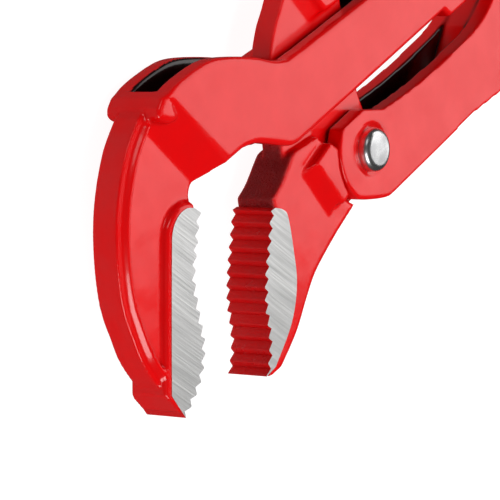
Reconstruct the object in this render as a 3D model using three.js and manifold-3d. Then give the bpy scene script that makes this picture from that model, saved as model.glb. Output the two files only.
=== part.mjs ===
// Pipe wrench with S-shaped jaws, two crossing levers and an adjusting nut.
// Millimetres. +X points from the pivot to the jaws, -Y towards the crossing handle, +Z is the
// thickness. The wrench lies flat: the origin is on the pivot's axis, on the resting plane.
import * as THREE from 'three';
import { mergeVertices } from 'three/addons/utils/BufferGeometryUtils.js';
import Module from 'manifold-3d';

const wasm = await Module();
wasm.setup();

// ---- Driving dimensions -------------------------------------------------------------------
const GAP = 0.3; // clearance between pieces that touch or slide
const SEGMENTS = 32; // sides of round parts

// Layers through the thickness, as half thicknesses
const ARM_HALF = 8.6; // arm walls, cheeks and pad
const JAW_HALF = 6; // toothed blocks and the lever's body
const RIM_HALF = 5.5; // bead round the hook's back
const WEB_HALF = 3.8; // thin plate inside the hook
const BLADE_HALF = 3.2; // middle layer of the lever
const SLOT_HALF = BLADE_HALF + GAP; // slot in the arm, and channel between the cheeks
const GRIP_HALF = 6; // I-section handles
const GRIP_WEB_HALF = 2; // web of the I-section
const GRIP_CHAMFER = 1.5;
const FLANGE = 3.8; // flanges of the I-section

// Shank thread and adjusting nut
const SHANK_Y = -25.4; // the thread's axis
const THREAD_R = 7.5; // crest radius
const THREAD_DEPTH = 1.6;
const THREAD_PITCH = 4;
const THREAD_STEPS = 12; // facets in one turn of the thread
const ARM_REAR = -62.4; // end of the arm's flat stretch
const THREAD_START = -80;
const NUT_R = 11;
const NUT_LENGTH = 22;
const NUT_FLUTES = 20;
const FLUTE_DEPTH = 1.1;
const NUT_COLLAR = 3; // plain ends of the nut
const NUT_REAR = -117.5;

// Travel of the hook from the stored opening to the widest
const OPEN_TRAVEL = 33;

// Housing round the nut
const FRONT_WALL = 6;
const REAR_WALL = 7;
const RAIL = 4.5; // bar that closes the window above the nut
const HANDLE_CLEARANCE = 12; // room between the rail and the crossing handle

// Pivot
const PIVOT_R = 4.8;
const HEAD_R = PIVOT_R + 0.9;
const HEAD_FLAT_R = HEAD_R - 1.7;
const HEAD_ROUND = 1.4; // height of a head's sloping rim
const CHEEK_R = 13.8; // rounded end of the cheeks
const TONGUE_R = 10; // lever's round boss between the cheeks

// Teeth
const TOOTH_DEPTH = 1.4;
const HOOK_TEETH = 15;
const LEVER_TEETH = 13;

// Handles and small parts
const HANDLE_END = -319; // overall length is about 420
const PIN_R = 1.6; // stop pin through the shank's tail
const PIN_HALF = THREAD_R + 1.5;
const SPRING_THICKNESS = 0.8;
const SPRING_HALF = 4;
const SPRING_SEAT_DEPTH = 2.2; // notch in the handle's upper flange
const SPRING_RIVET_R = 1.6;
const SPRING_X = -186; // where the leaf spring is riveted down

// ---- Sizes that follow --------------------------------------------------------------------
const REST_HALF = Math.max(ARM_HALF + 2.4, NUT_R + 0.25); // resting plane below the mid-plane
const NUT_FRONT = NUT_REAR + NUT_LENGTH;
const WINDOW_FRONT = NUT_FRONT + GAP;
const WINDOW_REAR = NUT_REAR - GAP;
const HOUSING_FRONT = WINDOW_FRONT + FRONT_WALL;
const HOUSING_REAR = WINDOW_REAR - REAR_WALL;
const WINDOW_TOP = SHANK_Y - NUT_R - 2 * GAP;
const WINDOW_BOTTOM = SHANK_Y + NUT_R + 2 * GAP;
const HOUSING_TOP = WINDOW_TOP - RAIL;
const PIN_X = HOUSING_REAR - OPEN_TRAVEL - PIN_R - 1;
const THREAD_END = PIN_X - PIN_R - 4;
const SHANK_UNDERSIDE = SHANK_Y + THREAD_R;
const BEAM_TOP = SHANK_UNDERSIDE + 5.6; // straight handle's upper flange, under the shank
const LUG_BOTTOM = -13.8; // shoulder at the rear of the arm
const SLOT_REAR = -17 - OPEN_TRAVEL; // keeps the slot clear of the lever at full opening

// ---- Helpers ------------------------------------------------------------------------------
/** Closed three.js geometry to a manifold solid. */
function solid(geometry) {
  const bare = geometry.index ? geometry.toNonIndexed() : geometry.clone();
  bare.deleteAttribute('normal');
  bare.deleteAttribute('uv');
  const merged = mergeVertices(bare, 1e-4);
  const mesh = new wasm.Mesh({
    numProp: 3,
    vertProperties: new Float32Array(merged.attributes.position.array),
    triVerts: new Uint32Array(merged.index.array),
  });
  return new wasm.Manifold(mesh);
}

/** Main body of a manifold solid as a flat-shaded three.js geometry, without slivers left by cuts. */
function geometryOf(body) {
  const mesh = body.decompose().reduce((a, b) => (a.volume() > b.volume() ? a : b)).getMesh();
  const geometry = new THREE.BufferGeometry();
  geometry.setAttribute('position', new THREE.BufferAttribute(new Float32Array(mesh.vertProperties), 3));
  geometry.setIndex(new THREE.BufferAttribute(new Uint32Array(mesh.triVerts), 1));
  const flat = geometry.toNonIndexed();
  flat.computeVertexNormals();
  return flat;
}

/** Moves an outline point into the material, so that both edges next to it move by the distance. */
function inward(points, index, distance, turn) {
  const [ax, ay] = points.at(index - 1);
  const [x, y] = points[index];
  const [bx, by] = points[(index + 1) % points.length];
  const before = new THREE.Vector2(x - ax, y - ay).normalize();
  const after = new THREE.Vector2(bx - x, by - y).normalize();
  const mitre = new THREE.Vector2(-before.y - after.y, before.x + after.x).multiplyScalar(turn).normalize();
  const spread = Math.max(0.5, Math.abs(mitre.x * -before.y + mitre.y * before.x));
  return mitre.multiplyScalar(distance / spread);
}

/** Plate with the given outline between two heights, with an optional chamfer round both faces. */
function plate(points, low, high, chamfer = 0) {
  const shape = new THREE.Shape(points.map(([x, y]) => new THREE.Vector2(x, y)));
  const geometry = new THREE.ExtrudeGeometry(shape, { depth: 3, steps: 3, bevelEnabled: false });
  const turn = THREE.ShapeUtils.isClockWise(shape.getPoints()) ? -1 : 1;
  const key = (x, y) => `${Math.fround(x)} ${Math.fround(y)}`;
  const shifts = new Map(points.map(([x, y], i) => [key(x, y), inward(points, i, chamfer, turn)]));
  const heights = [low, low + chamfer, high - chamfer, high];
  const position = geometry.attributes.position;
  for (let i = 0; i < position.count; i += 1) {
    const level = Math.round(position.getZ(i));
    const shift = shifts.get(key(position.getX(i), position.getY(i)));
    if (level === 0 || level === 3) {
      position.setXY(i, position.getX(i) + shift.x, position.getY(i) + shift.y);
    }
    position.setZ(i, chamfer > 0 ? heights[level] : low + ((high - low) * level) / 3);
  }
  return solid(geometry);
}

/** Plate centred on the mid-plane. */
const layer = (points, half, chamfer = 0) => plate(points, -half, half, chamfer);

/** Smooth stretch through a few points. */
function curve(points, divisions = points.length * 3) {
  const spline = new THREE.SplineCurve(points.map(([x, y]) => new THREE.Vector2(x, y)));
  return spline.getPoints(divisions).map((p) => [p.x, p.y]);
}

/** Arc round a centre, in degrees. */
function arc(cx, cy, radius, from, to, divisions = 12) {
  const steps = Array.from({ length: divisions + 1 }, (_, i) => from + ((to - from) * i) / divisions);
  return steps.map((a) => {
    const angle = THREE.MathUtils.degToRad(a);
    return [cx + radius * Math.cos(angle), cy + radius * Math.sin(angle)];
  });
}

/** Saw teeth cut along a smooth line: tips on the line, roots pushed to the side. */
function teeth(points, count, side) {
  const spline = new THREE.SplineCurve(points.map(([x, y]) => new THREE.Vector2(x, y)));
  const result = [];
  for (let i = 0; i < count; i += 1) {
    const tip = spline.getPointAt(i / count);
    const root = spline.getPointAt((i + 0.7) / count);
    const along = spline.getTangentAt((i + 0.7) / count);
    result.push([tip.x, tip.y]);
    result.push([root.x - side * along.y * TOOTH_DEPTH, root.y + side * along.x * TOOTH_DEPTH]);
  }
  const last = spline.getPointAt(1);
  result.push([last.x, last.y]);
  return result;
}

/** Cylinder along Z through a point. */
function pin(x, y, radius, low, high, segments = SEGMENTS) {
  const geometry = new THREE.CylinderGeometry(radius, radius, high - low, segments);
  return solid(geometry.rotateX(Math.PI / 2).translate(x, y, (low + high) / 2));
}

/** Cylinder along X on the shank's axis. */
function shaft(radius, rear, front, segments = SEGMENTS) {
  const geometry = new THREE.CylinderGeometry(radius, radius, front - rear, segments);
  return solid(geometry.rotateZ(Math.PI / 2).translate((rear + front) / 2, SHANK_Y, 0));
}

/** Helix on the shank's axis, whose section stays in the plane through that axis. */
class ThreadPath extends THREE.Curve {
  constructor(radius, rear, front) {
    super();
    Object.assign(this, { radius, rear, front });
  }

  angle(t) {
    return (2 * Math.PI * (this.rear + (this.front - this.rear) * t)) / THREAD_PITCH;
  }

  getPoint(t) {
    const x = this.rear + (this.front - this.rear) * t;
    const a = this.angle(t);
    return new THREE.Vector3(x, SHANK_Y + this.radius * Math.cos(a), this.radius * Math.sin(a));
  }

  computeFrenetFrames(steps) {
    const frames = { tangents: [], normals: [], binormals: [] };
    for (let i = 0; i <= steps; i += 1) {
      const a = this.angle(i / steps);
      frames.tangents.push(new THREE.Vector3(0, -Math.sin(a), Math.cos(a)));
      frames.normals.push(new THREE.Vector3(0, Math.cos(a), Math.sin(a)));
      frames.binormals.push(new THREE.Vector3(-1, 0, 0));
    }
    return frames;
  }

  getPointAt(t) {
    return this.getPoint(t);
  }

  getSpacedPoints(divisions) {
    return Array.from({ length: divisions + 1 }, (_, i) => this.getPoint(i / divisions));
  }
}

/** Threaded rod on the shank's axis; a play makes it larger all over, to cut a matching nut. */
function threadedRod(rear, front, play = 0) {
  const core = THREAD_R - THREAD_DEPTH + play;
  const crest = THREAD_R + play;
  const rootHalf = THREAD_PITCH * 0.34 + play * 0.6;
  const crestHalf = THREAD_PITCH * 0.12 + play * 0.6;
  const profile = new THREE.Shape([
    new THREE.Vector2(core - 0.6, -rootHalf),
    new THREE.Vector2(crest, -crestHalf),
    new THREE.Vector2(crest, crestHalf),
    new THREE.Vector2(core - 0.6, rootHalf),
  ]);
  const overrun = THREAD_PITCH;
  const path = new ThreadPath(0, rear - overrun, front + overrun);
  const turns = (front - rear + 2 * overrun) / THREAD_PITCH;
  const steps = Math.ceil(turns * THREAD_STEPS);
  const ridge = new THREE.ExtrudeGeometry(profile, { steps, extrudePath: path });
  const blank = shaft(crest + 1, rear, front);
  return solid(ridge).intersect(blank).add(shaft(core, rear, front, 2 * THREAD_STEPS));
}

/** Sloping shoulder: falls from the high half thickness to the low one across the width. */
function shoulder(start, end, width, high, low) {
  const length = Math.hypot(end[0] - start[0], end[1] - start[1]);
  const lap = -Math.sign(width);
  const section = new THREE.Shape([
    new THREE.Vector2(lap, -high),
    new THREE.Vector2(0, -high),
    new THREE.Vector2(width, -low),
    new THREE.Vector2(width, low),
    new THREE.Vector2(0, high),
    new THREE.Vector2(lap, high),
  ]);
  const geometry = new THREE.ExtrudeGeometry(section, { depth: length, bevelEnabled: false });
  const along = new THREE.Vector3(end[0] - start[0], end[1] - start[1], 0).normalize();
  const up = new THREE.Vector3(0, 0, 1);
  const across = new THREE.Vector3().crossVectors(up, along);
  const place = new THREE.Matrix4().makeBasis(across, up, along);
  place.setPosition(start[0], start[1], 0);
  return solid(geometry.applyMatrix4(place));
}

/** I-section: pockets both sides of a beam given by its upper and lower edges. */
function pockets(upper, lower) {
  const below = upper.map(([x, y]) => [x, y + FLANGE]);
  const above = lower.map(([x, y]) => [x, y - FLANGE]).reverse();
  const inner = [...below, ...above];
  const near = plate(inner, GRIP_WEB_HALF, ARM_HALF + 9);
  const far = plate(inner, -ARM_HALF - 9, -GRIP_WEB_HALF);
  return near.add(far);
}

// ---- Hook jaw, its slotted arm and threaded shank ---------------------------------------------
const hookTeeth = teeth(
  [[67.2, -19.2], [71.6, -13.2], [76.4, -6], [78.4, 1.6], [80.4, 10], [85.6, 16.8], [94.8, 21.6]],
  HOOK_TEETH,
  -1,
);
const hookBack = curve([
  [97, 14], [100.2, 4], [100.8, -4], [100.5, -12.8], [97, -24], [91.4, -34.4], [83.2, -43.6], [75.2, -48.8],
]);
const crotch = curve([[67.2, -21.2], [66.9, -23.4], [65.1, -25.3], [61.6, -26.2], [56.8, -26.2]], 10);
const jawBack = curve([[81.2, -16.4], [78.6, -20.6], [75.2, -22.6], [71.6, -22.7], [68.8, -21.3]], 8);
const hookRimInner = curve([
  [78.4, -45.6], [86.4, -37.6], [92, -26.4], [95.2, -16], [96.5, -4], [95.7, 6.4], [93.2, 16],
]);
const armTop = curve([
  [68.4, -51.2], [64.8, -51.9], [59.2, -52], [50.4, -51.2], [43.2, -48.6], [33.6, -43.7], [26.4, -39],
], 14);

function makeHookJaw() {
  const web = layer(
    [...hookTeeth, ...hookBack, [67.2, -48.8], [51.2, -40], [51.2, -26.2], ...crotch.reverse()],
    WEB_HALF,
  );
  const rim = layer([...hookBack, ...hookRimInner], RIM_HALF, 1.6);
  const jaw = layer([...hookTeeth, [97, 14], ...jawBack], JAW_HALF);
  const armOutline = [
    ...armTop,
    [21.6, -37],
    [14.4, -36.5],
    [ARM_REAR, SHANK_Y - THREAD_R - 0.6],
    [ARM_REAR, LUG_BOTTOM],
    [ARM_REAR + 13.6, LUG_BOTTOM],
    [ARM_REAR + 15, -16.6],
    ...curve([[27.2, -16.6], [30.8, -17.6], [36.8, -21.3], [42.4, -24.6], [48, -26.2]], 8),
    [56.8, -26.2],
  ];
  const arm = layer(armOutline, ARM_HALF, 1.2);
  const clip = layer(
    [[48, -51.2], [69, -51], [76.4, -47.4], [83.2, -43.2], [70.4, -26.3], [48, -26.3]],
    ARM_HALF,
  );
  const slope = shoulder([70.4, -53.6], [56.2, -25.2], 8.5, ARM_HALF - 1, WEB_HALF).intersect(clip);
  const collar = layer(
    [[64, -44], [71.6, -44.6], [74.4, -47], [73.4, -49.6], [69.4, -51.2], [64, -51.6]],
    ARM_HALF,
    1.2,
  );
  const slot = layer(
    [[SLOT_REAR, -4], [SLOT_REAR, -68], [67.2, -68], [67.2, -50.4], [61.6, -36], [54.4, -24], [54.4, -4]],
    SLOT_HALF,
  );
  const shank = threadedRod(THREAD_END, THREAD_START).add(shaft(THREAD_R, THREAD_START, ARM_REAR + 2));
  const hole = pin(PIN_X, SHANK_Y, PIN_R + GAP / 3, -THREAD_R - 1, THREAD_R + 1, 16);
  return web.add(rim).add(arm).add(slope).add(collar).subtract(slot).add(jaw).add(shank).subtract(hole);
}

// ---- Lever: lower jaw, body, blade through the slot, and the crossing handle --------------------
const leverTeeth = teeth(
  [[62.8, 30], [58.8, 24.8], [56.6, 19.2], [55.2, 14], [51.6, 7.2], [46.8, 0.4], [42.4, -5.6]],
  LEVER_TEETH,
  -1,
);
const crossTop = [
  [14, -39.4], [8.6, -42.6], [3.6, -46.4], [-2, -52.2], [-10, -57], [-24, -61], [-48, -64.4],
  [-88.8, HOUSING_TOP - HANDLE_CLEARANCE - 20], [-128, HOUSING_TOP - HANDLE_CLEARANCE - 23.5],
  [HANDLE_END + 10, HOUSING_TOP - HANDLE_CLEARANCE - 31],
];
const crossBottom = [
  [12.2, -38.6], [4, -38.2], [-8, -38.3], [-20.8, -40.6], [-40, -45.2], [-64, -49.6],
  [-88.8, HOUSING_TOP - HANDLE_CLEARANCE + 1], [-128, HOUSING_TOP - HANDLE_CLEARANCE - 2.5],
  [HANDLE_END + 10, HOUSING_TOP - HANDLE_CLEARANCE - 10],
];

function makeLever() {
  const bodyOutline = [
    ...leverTeeth,
    ...curve([[40, -7.6], [35.2, -9.2], [30.8, -11.6], [27.2, -13.4], [23.2, -13.2]], 8),
    [16, -12.4],
    [14.7, -10],
    ...arc(0, 0, CHEEK_R + 2 * GAP, -32, 50, 14),
    ...curve([[19.2, 13.5], [26.4, 15.7], [32.8, 18.1], [38.4, 21.6], [46.4, 27.2], [56, 31.6]], 12),
  ];
  const body = layer(bodyOutline, JAW_HALF);
  const padOutline = [
    [23.2, -8.4],
    [14.9, -10.1],
    ...arc(0, 0, CHEEK_R + 2 * GAP, -30, 22, 8),
    [15.5, 6.6],
    [17.6, 6.6],
  ];
  const pad = layer(padOutline, ARM_HALF, 0.6);
  const padSlope = shoulder([18.7, 8.8], [25, -11.2], -6, ARM_HALF - 1, JAW_HALF - 0.5)
    .intersect(layer(bodyOutline, ARM_HALF));
  const bladeOutline = [
    [28.8, -13.6],
    [24.8, -24],
    ...curve([[22.4, -35.2], [21.6, -38.1], [17.1, -43.2], [12.8, -46.4], [8, -50], [-2, -55.4]], 10),
    [-12.8, -44],
    ...curve([[-12, -37.6], [-10.4, -30.4], [-8, -17.6]], 4),
    ...arc(0, 0, TONGUE_R, 210, 80, 14),
    [8, 11.4],
    [24, 11.2],
    [32, 0],
  ];
  const blade = layer(bladeOutline, BLADE_HALF);
  const rounded = arc(HANDLE_END + 10, (crossTop.at(-1)[1] + crossBottom.at(-1)[1]) / 2,
    (crossBottom.at(-1)[1] - crossTop.at(-1)[1]) / 2, 270, 90, 8);
  const gripOutline = [...curve(crossTop, 26), ...rounded, ...curve(crossBottom, 20).reverse()];
  const grip = layer(gripOutline, GRIP_HALF, GRIP_CHAMFER);
  const recess = pockets(
    curve(crossTop.slice(5), 16),
    curve(crossBottom.slice(3), 14),
  );
  const hole = pin(0, 0, PIVOT_R + GAP, -ARM_HALF, ARM_HALF);
  return grip.subtract(recess).add(blade).add(body).add(pad).add(padSlope).subtract(hole);
}

// ---- Nut handle: cheeks, channel, nut housing and the straight handle ---------------------------
const beamTop = [
  [HOUSING_REAR + 1, BEAM_TOP], [-152, BEAM_TOP], [-188, BEAM_TOP + 1.5], [HANDLE_END + 11, BEAM_TOP + 5],
];
const beamBottom = [
  [HOUSING_REAR + 1, 16.5], [-137.6, 9.2], [-156, 7.2], [-192, 7.4], [HANDLE_END + 11, 12],
];

function makeNutHandle() {
  const cheekOutline = [
    ...arc(0, 0, CHEEK_R, -50, 40, 12),
    ...curve([[7.6, 10.6], [3.2, 12.8], [-1.2, 14.6], [-4.8, 15.1]], 6),
    [-48, 14.6],
    [HOUSING_FRONT - 1, 18],
    [HOUSING_FRONT - 1, -15.4],
    [-65.6, -12.3],
    [-57.6, -8],
    [-51.2, -7.4],
    [-8.8, -7.2],
    [-1.6, -10.8],
  ];
  const cheeks = layer(cheekOutline, ARM_HALF, 0.8);
  const channelFloor = curve([[-43.2, 8.8], [-52.8, -1.6], [-59.2, -16]], 6);
  const channel = layer(
    [[48, -32], [48, 32], [-1.6, 32], [-1.6, 10.9], [-38.4, 10.6], ...channelFloor, [-59.2, -32]],
    SLOT_HALF + GAP,
  );
  const housingOutline = [
    [HOUSING_FRONT, 18],
    [HOUSING_FRONT, HOUSING_TOP + 4],
    [HOUSING_FRONT - 4, HOUSING_TOP],
    [HOUSING_REAR + 6, HOUSING_TOP],
    [HOUSING_REAR, HOUSING_TOP + 6],
    [HOUSING_REAR, 16.5],
  ];
  const housing = layer(housingOutline, REST_HALF, 1.5);
  const windowCut = layer(
    [[WINDOW_FRONT, WINDOW_BOTTOM], [WINDOW_FRONT, WINDOW_TOP], [WINDOW_REAR, WINDOW_TOP],
      [WINDOW_REAR, WINDOW_BOTTOM]],
    REST_HALF + 1,
  );
  const bore = shaft(THREAD_R + 2 * GAP, HOUSING_REAR - 2, HOUSING_FRONT + 2);
  const endY = (beamTop.at(-1)[1] + beamBottom.at(-1)[1]) / 2;
  const rounded = arc(HANDLE_END + 11, endY, (beamBottom.at(-1)[1] - beamTop.at(-1)[1]) / 2, 270, 90, 8);
  const beamOutline = [...curve(beamTop, 10), ...rounded, ...curve(beamBottom, 14).reverse()];
  const beam = layer(beamOutline, GRIP_HALF, GRIP_CHAMFER);
  const recess = pockets(
    [[-129.6, BEAM_TOP], ...curve(beamTop.slice(1), 8)],
    [[-132.8, 10.1], ...curve(beamBottom.slice(2), 8)],
  );
  const springSeat = layer(
    [[SPRING_X - 10, BEAM_TOP - 2], [SPRING_X - 10, BEAM_TOP + SPRING_SEAT_DEPTH],
      [SPRING_X + 10, BEAM_TOP + SPRING_SEAT_DEPTH], [SPRING_X + 10, BEAM_TOP - 2]],
    SPRING_HALF + GAP,
  );
  const springHole = solid(
    new THREE.CylinderGeometry(SPRING_RIVET_R + GAP / 3, SPRING_RIVET_R + GAP / 3, 12, 16)
      .translate(SPRING_X, BEAM_TOP + 2, 0),
  );
  const hole = pin(0, 0, PIVOT_R + GAP / 2, -REST_HALF, REST_HALF);
  return cheeks.subtract(channel).add(beam.subtract(recess)).add(housing)
    .subtract(windowCut).subtract(bore).subtract(springSeat).subtract(springHole).subtract(hole);
}

// ---- Small parts --------------------------------------------------------------------------------
function makePivotRivet() {
  const top = REST_HALF;
  const seat = ARM_HALF + GAP / 2;
  const profile = [
    [0, -top], [HEAD_FLAT_R, -top], [HEAD_R, -top + HEAD_ROUND], [HEAD_R, -seat], [PIVOT_R, -seat],
    [PIVOT_R, seat], [HEAD_R, seat], [HEAD_R, top - HEAD_ROUND], [HEAD_FLAT_R, top], [0, top],
  ].map(([r, z]) => new THREE.Vector2(r, z));
  return solid(new THREE.LatheGeometry(profile, SEGMENTS).rotateX(Math.PI / 2));
}

function makeNut() {
  const flutes = [];
  for (let i = 0; i < NUT_FLUTES; i += 1) {
    const step = 360 / NUT_FLUTES;
    flutes.push(...arc(0, 0, NUT_R, i * step, (i + 0.5) * step, 2));
    flutes.push(...arc(0, 0, NUT_R - FLUTE_DEPTH, (i + 0.68) * step, (i + 0.82) * step, 1));
  }
  const shape = new THREE.Shape(flutes.map(([x, y]) => new THREE.Vector2(x, y)));
  const blank = new THREE.ExtrudeGeometry(shape, { depth: NUT_LENGTH, bevelEnabled: false });
  const fluted = solid(blank.rotateY(Math.PI / 2).translate(NUT_REAR, SHANK_Y, 0));
  const ends = shaft(NUT_R - FLUTE_DEPTH - 0.7, NUT_REAR, NUT_FRONT, 40);
  const middle = shaft(NUT_R + 1, NUT_REAR + NUT_COLLAR, NUT_FRONT - NUT_COLLAR, 40);
  const grip = fluted.intersect(middle).add(ends);
  return grip.subtract(threadedRod(NUT_REAR - 1, NUT_FRONT + 1, GAP));
}

function makeStopPin() {
  return pin(PIN_X, SHANK_Y, PIN_R, -PIN_HALF, PIN_HALF, 16);
}

const springFoot = BEAM_TOP + SPRING_SEAT_DEPTH - GAP;
const springLine = [
  [SPRING_X - 7, springFoot],
  [SPRING_X + 7, springFoot],
  ...curve([
    [SPRING_X + 12, BEAM_TOP - 0.6],
    [-150.4, SHANK_UNDERSIDE + 3.2],
    [-137.6, SHANK_UNDERSIDE + 1.4],
    [-131.2, SHANK_UNDERSIDE + 1.6],
    [-127.2, SHANK_UNDERSIDE + 3],
  ], 12),
];

function makeSpring() {
  const lower = springLine;
  const upper = springLine.map(([x, y]) => [x, y - SPRING_THICKNESS]).reverse();
  const strip = layer([...lower, ...upper], SPRING_HALF);
  const hole = new THREE.CylinderGeometry(SPRING_RIVET_R + GAP / 3, SPRING_RIVET_R + GAP / 3, 12, 16);
  return strip.subtract(solid(hole.translate(SPRING_X, BEAM_TOP, 0)));
}

function makeSpringRivet() {
  const headLow = springFoot - SPRING_THICKNESS - GAP / 3;
  const head = new THREE.CylinderGeometry(SPRING_RIVET_R + 1.8, SPRING_RIVET_R + 1.2, 1.4, 16);
  const stem = new THREE.CylinderGeometry(SPRING_RIVET_R, SPRING_RIVET_R, 6, 16);
  const body = solid(head.translate(SPRING_X, headLow - 0.7, 0));
  return body.add(solid(stem.translate(SPRING_X, headLow + 3 - 0.5, 0)));
}

// ---- Assembly -----------------------------------------------------------------------------------
const paint = { color: 0xd3141a, roughness: 0.25, metalness: 0.0 };
const steel = { color: 0xb9bcc0, roughness: 0.35, metalness: 1.0 };
const darkSteel = { color: 0x55585c, roughness: 0.45, metalness: 1.0 };

const wrench = new THREE.Group();
wrench.position.z = REST_HALF;

/** Adds one piece as a named mesh. */
function add(name, body, look) {
  const mesh = new THREE.Mesh(geometryOf(body), new THREE.MeshStandardMaterial(look));
  mesh.name = name;
  wrench.add(mesh);
}

add('hook_jaw', makeHookJaw(), paint);
add('shank_stop_pin', makeStopPin(), steel);
add('jaw_lever', makeLever(), paint);
add('nut_handle', makeNutHandle(), paint);
add('pivot_rivet', makePivotRivet(), steel);
add('adjusting_nut', makeNut(), darkSteel);
add('shank_spring', makeSpring(), steel);
add('spring_rivet', makeSpringRivet(), steel);

export default wrench;
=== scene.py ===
"""Pipe wrench with S-shaped jaws: its forged, enamelled and ground pieces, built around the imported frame."""
import logging
import math
from dataclasses import dataclass, field
from enum import Enum
from typing import Callable, Iterable, Sequence

import bmesh
import bpy
from mathutils import Matrix, Vector


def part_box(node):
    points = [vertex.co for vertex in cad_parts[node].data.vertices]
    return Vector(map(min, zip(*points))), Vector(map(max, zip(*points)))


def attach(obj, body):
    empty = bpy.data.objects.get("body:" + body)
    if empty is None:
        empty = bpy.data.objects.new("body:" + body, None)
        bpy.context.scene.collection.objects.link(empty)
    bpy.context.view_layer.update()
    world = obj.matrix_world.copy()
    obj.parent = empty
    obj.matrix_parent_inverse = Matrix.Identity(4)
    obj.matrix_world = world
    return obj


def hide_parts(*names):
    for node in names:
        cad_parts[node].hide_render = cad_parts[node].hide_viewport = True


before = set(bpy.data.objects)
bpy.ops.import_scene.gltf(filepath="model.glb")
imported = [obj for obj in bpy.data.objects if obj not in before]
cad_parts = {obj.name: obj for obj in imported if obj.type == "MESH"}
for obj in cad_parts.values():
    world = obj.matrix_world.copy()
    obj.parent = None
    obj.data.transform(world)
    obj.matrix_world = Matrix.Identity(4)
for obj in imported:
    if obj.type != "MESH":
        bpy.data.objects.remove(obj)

log = logging.getLogger("pipe_wrench")

Point = tuple[float, float]
Place = tuple[float, float, float]
Outline = list[Point]

MM = 0.001
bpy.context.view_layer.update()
RIVET_LOW, RIVET_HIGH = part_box("pivot_rivet")
MID_Z = (RIVET_LOW.z + RIVET_HIGH.z) / 2  # the wrench's mid-plane, in metres
NUT_LOW, NUT_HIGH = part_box("adjusting_nut")
SHANK_LOW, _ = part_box("hook_jaw")


class Body(Enum):
    """Rigid bodies that the pieces ride on."""

    HANDLE = "handle"
    LEVER = "lever"
    HOOK = "hook"
    NUT = "nut"


@dataclass(frozen=True)
class Thickness:
    """Half thicknesses of the layers, in millimetres from the mid-plane."""

    arm: float = 8.6
    jaw: float = 6.0
    rim: float = 5.5
    web: float = 3.8
    blade: float = 3.2
    slot: float = 3.5
    channel: float = 3.8
    grip: float = 6.0
    grip_web: float = 2.0
    housing: float = (RIVET_HIGH.z - RIVET_LOW.z) / 2 / MM


@dataclass(frozen=True)
class Voxels:
    """Fineness of the fused forgings, in millimetres."""

    size: float = 0.42
    smoothing: int = 6
    most_triangles: int = 165_000


LAYERS = Thickness()
VOXELS = Voxels()
SHANK_Y = (NUT_LOW.y + NUT_HIGH.y) / 2 / MM
NUT_RADIUS = (NUT_HIGH.y - NUT_LOW.y) / 2 / MM
GRIND_ANGLE = math.radians(125)  # run of the grinding scratches on the jaws' flanks
FLANK_DROP = 0.08  # how far the forging lies under the ground flanks
TOOTH_COVER = 2.1  # how far the forging stays behind the tips of the teeth
GRIP_ROUND = 1.2  # rounding along the rims of both handles


# ---- Outlines ------------------------------------------------------------------------------


def smooth_line(points: Sequence[Point], pieces: int = 6) -> Outline:
    """Runs a smooth line through a few points.

    Args:
        points: Points that the line passes through, in millimetres.
        pieces: Straight pieces between two neighbouring points.

    Returns:
        The line's points, with the first and last of the given ones at its ends.
    """
    ends = [points[0], *points, points[-1]]
    line: Outline = []
    for a, b, c, d in zip(ends, ends[1:], ends[2:], ends[3:]):
        for k in range(pieces):
            t = k / pieces
            line.append(tuple(_spline_value(*axis, t) for axis in zip(a, b, c, d)))
    line.append(tuple(points[-1]))
    return line


def _spline_value(a: float, b: float, c: float, d: float, t: float) -> float:
    """Value of a uniform Catmull-Rom spline between b and c."""
    v0, v1 = (c - a) / 2, (d - b) / 2
    return (2 * b - 2 * c + v0 + v1) * t**3 + (3 * c - 3 * b - 2 * v0 - v1) * t**2 + v0 * t + b


def arc(cx: float, cy: float, radius: float, start: float, end: float, pieces: int = 24) -> Outline:
    """Makes an arc round a centre.

    Args:
        cx: Centre's first coordinate.
        cy: Centre's second coordinate.
        radius: Radius in millimetres.
        start: First angle in degrees.
        end: Last angle in degrees.
        pieces: Straight pieces in the arc.

    Returns:
        The arc's points from start to end.
    """
    angles = [math.radians(start + (end - start) * i / pieces) for i in range(pieces + 1)]
    return [(cx + radius * math.cos(a), cy + radius * math.sin(a)) for a in angles]


def set_off(line: Sequence[Point], distance: float) -> Outline:
    """Moves a line sideways, to its right when the distance is positive.

    Args:
        line: The line's points in millimetres.
        distance: How far it moves.

    Returns:
        The moved points.
    """
    moved: Outline = []
    for i, (x, y) in enumerate(line):
        x0, y0 = line[max(i - 1, 0)]
        x1, y1 = line[min(i + 1, len(line) - 1)]
        length = math.hypot(x1 - x0, y1 - y0)
        moved.append((x + (y1 - y0) / length * distance, y - (x1 - x0) / length * distance))
    return moved


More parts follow.
